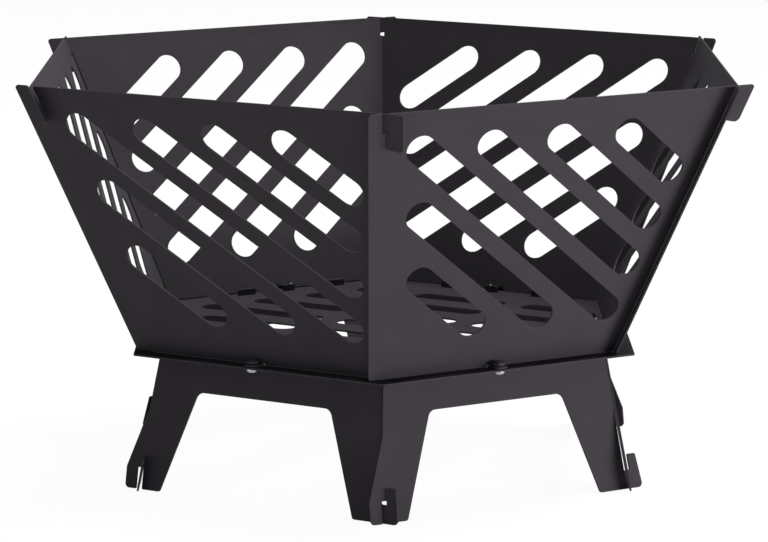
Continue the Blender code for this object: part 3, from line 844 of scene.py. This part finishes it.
def thread_rod(low, high):
    """A rod with a V thread: one pitch of zigzag wound up a screw line and cut off at both ends."""
    start = low - 2 * THREAD_PITCH
    turns = math.ceil((high - low) / THREAD_PITCH) + 4
    item = draw_chain(
        "thread",
        [
            Vector((THREAD_ROOT_RADIUS, 0.0, start)),
            Vector((THREAD_RADIUS, 0.0, start + THREAD_PITCH / 2)),
            Vector((THREAD_ROOT_RADIUS, 0.0, start + THREAD_PITCH)),
        ],
    )
    bpy.ops.object.mode_set(mode="OBJECT")
    winding = item.modifiers.new("winding", "SCREW")
    winding.screw_offset = THREAD_PITCH * MM
    winding.iterations = turns
    winding.steps = TURNING_STEPS // 2
    winding.render_steps = TURNING_STEPS // 2
    winding.use_merge_vertices = True
    winding.merge_threshold = WELD * MM
    only(item)
    bpy.ops.object.modifier_apply(modifier=winding.name)
    bpy.ops.object.mode_set(mode="EDIT")
    for height, upwards in ((high, 1.0), (low, -1.0)):
        bpy.ops.mesh.select_all(action="SELECT")
        bpy.ops.mesh.remove_doubles(threshold=WELD * MM)
        bpy.ops.mesh.bisect(
            plane_co=(0.0, 0.0, height * MM),
            plane_no=(0.0, 0.0, upwards),
            use_fill=True,
            clear_outer=True,
        )
    bpy.ops.mesh.select_all(action="SELECT")
    bpy.ops.mesh.normals_make_consistent(inside=False)
    bpy.ops.object.mode_set(mode="OBJECT")
    return item


def hex_prism(name, across_flats, low, high):
    bpy.ops.object.select_all(action="DESELECT")
    bpy.ops.mesh.primitive_cylinder_add(
        vertices=SIDES,
        radius=across_flats / 2 / APOTHEM * MM,
        depth=(high - low) * MM,
        location=(0.0, 0.0, (low + high) / 2 * MM),
    )
    item = name_piece(bpy.context.object, name)
    bpy.ops.object.transform_apply(location=True, rotation=True, scale=True)
    return item


# Screws, put in from below, with their heads under the plate's rim
head_high = PLATE_UNDERSIDE - SEAT_GAP
head_low = head_high - HEAD_HEIGHT
nut_low = PLATE_TOP + 2 * SEAT_GAP + SHEET
nut_high = nut_low + NUT_HEIGHT
screw_end = nut_high + SCREW_STICK_OUT
head_profile = [(0.0, head_high), (HEAD_RADIUS, head_high)]
for step in range(HEAD_DOME_STEPS + 1):
    angle = math.pi / 2 * step / HEAD_DOME_STEPS
    dome_radius = HEAD_FLAT_RADIUS + (HEAD_RADIUS - HEAD_FLAT_RADIUS) * math.cos(angle)
    dome_height = head_high - HEAD_RIM - (HEAD_HEIGHT - HEAD_RIM) * math.sin(angle)
    head_profile.append((dome_radius, dome_height))
head_profile.append((0.0, head_low))
screw = turn_profile("screw", head_profile)
socket = hex_prism("socket", SOCKET_ACROSS_FLATS, head_low - SOCKET_DEPTH, head_low + SOCKET_DEPTH)
only(socket)
bpy.ops.object.mode_set(mode="EDIT")
pick(socket, "FACE", lambda face: face.normal.z > LEVEL)
bpy.ops.mesh.inset(thickness=SOCKET_ACROSS_FLATS / 4 * MM)
bpy.ops.transform.translate(value=(0.0, 0.0, SOCKET_POINT * MM))
bpy.ops.object.mode_set(mode="OBJECT")
combine(screw, [socket], "DIFFERENCE")
soften_edges(screw, SMALL_EDGE, SMALL_EDGE_STEPS)
mend(screw)
shank_profile = [
    (0.0, screw_end),
    (THREAD_RADIUS - SCREW_END_CHAMFER, screw_end),
    (THREAD_RADIUS, screw_end - SCREW_END_CHAMFER),
    (THREAD_RADIUS, head_high - HEAD_RIM),
    (0.0, head_high - HEAD_RIM),
]
shank = turn_profile("shank", shank_profile)
combine(shank, [thread_rod(head_low, screw_end + THREAD_PITCH)], "INTERSECT")
mend(shank)
combine(screw, [shank], "UNION")
mend(screw)
bpy.ops.object.shade_smooth_by_angle(angle=THREAD_ANGLE)
# Zinc all over, except the thread end above the plate, which gets the black coat as painted shade
paint(screw, screw_zinc, nut_coat_and_painted_shade)
paint_second(screw, lambda face: face.calc_center_median().z > head_high * MM)
place(screw, Matrix.Translation((BOLT_APOTHEM * MM, TAB_CENTRE * MM, 0.0)))
six_round(screw, "screw", "bolt")

# Nuts, on the foot tabs
nut = hex_prism("hex_nut", NUT_ACROSS_FLATS, nut_low, nut_high)
nut_turned_radius = NUT_ACROSS_FLATS / 2 / APOTHEM + SEAT_GAP
nut_chamfer = (nut_turned_radius - NUT_FACE_RADIUS) * NUT_CHAMFER_SLOPE
nut_over = SEAT_GAP * NUT_CHAMFER_SLOPE
chamfer_profile = [
    (0.0, nut_high + nut_over),
    (NUT_FACE_RADIUS - SEAT_GAP, nut_high + nut_over),
    (nut_turned_radius, nut_high - nut_chamfer),
    (nut_turned_radius, nut_low + nut_chamfer),
    (NUT_FACE_RADIUS - SEAT_GAP, nut_low - nut_over),
    (0.0, nut_low - nut_over),
]
combine(nut, [turn_profile("chamfer", chamfer_profile)], "INTERSECT")
nut_middle = (nut_low + nut_high) / 2
combine(nut, [drill(Vector((0.0, 0.0)), NUT_BORE_RADIUS, nut_middle, 2 * NUT_HEIGHT)], "DIFFERENCE")
soften_edges(nut, SMALL_EDGE, SMALL_EDGE_STEPS)
paint(nut, nut_coat_and_painted_shade)
place(nut, Matrix.Translation((BOLT_APOTHEM * MM, TAB_CENTRE * MM, 0.0)))
six_round(nut, "hex_nut", "nut")

# Floor
bpy.ops.object.select_all(action="DESELECT")
bpy.ops.mesh.primitive_plane_add(size=FLOOR_WIDTH, location=(0.0, 0.0, 0.0))
ground = bpy.context.object
ground.name = "studio_floor"
floor_paint, tree, shader = new_finish("white_studio_floor")
shader.inputs["Base Color"].default_value = linear(FLOOR_COLOUR)
shader.inputs["Roughness"].default_value = FLOOR_ROUGHNESS
shader.inputs["Specular IOR Level"].default_value = NO_SHINE
share = add_node(tree, "ShaderNodeMath", {"operation": "MULTIPLY"}, {0: seen_directly(tree)})
share.inputs[1].default_value = FLOOR_GLOW
glow = add_node(tree, "ShaderNodeEmission", {"Color": linear(WHITE), "Strength": 1.0}, {})
blend = add_node(
    tree,
    "ShaderNodeMixShader",
    {},
    {0: share.outputs["Value"], 1: shader.outputs["BSDF"], 2: glow.outputs["Emission"]},
)
output = tree.nodes["Material Output"]
tree.links.new(blend.outputs["Shader"], output.inputs["Surface"])
ground.data.materials.append(floor_paint)

# Studio
world = bpy.data.worlds.new("studio")
bpy.context.scene.world = world
world.use_nodes = True
tree = world.node_tree
background = tree.nodes["Background"]
background.inputs["Color"].default_value = linear(WHITE)
level = add_node(
    tree,
    "ShaderNodeMapRange",
    {"To Min": DIM_STUDIO, "To Max": BRIGHT_STUDIO},
    {"Value": seen_directly(tree)},
)
tree.links.new(level.outputs["Result"], background.inputs["Strength"])


def softbox(name, place_at, width, height, power):
    """A wide lamp that points at the bowl."""
    lamp = bpy.data.lights.new(name, "AREA")
    lamp.shape = "RECTANGLE"
    lamp.size = width
    lamp.size_y = height
    lamp.energy = power
    item = bpy.data.objects.new(name, lamp)
    bpy.context.scene.collection.objects.link(item)
    item.location = place_at
    aim = -item.location
    aim.z += AIM_HEIGHT
    item.rotation_euler = aim.to_track_quat("-Z", "Y").to_euler()


for name, place_at, width, height, power in LAMPS:
    softbox(name, place_at, width, height, power)

# Camera
camera_data = bpy.data.cameras.new("photo_camera")
camera_data.sensor_width = SENSOR_WIDTH
camera_data.lens = FOCAL_LENGTH
camera_data.shift_x = SHIFT_X
camera_data.shift_y = SHIFT_Y
camera = bpy.data.objects.new("photo_camera", camera_data)
bpy.context.scene.collection.objects.link(camera)
camera.location = CAMERA_PLACE
camera.rotation_euler = (math.pi / 2 - CAMERA_PITCH, 0.0, CAMERA_TURN)
bpy.context.scene.camera = camera
bpy.context.scene.view_settings.view_transform = "Standard"
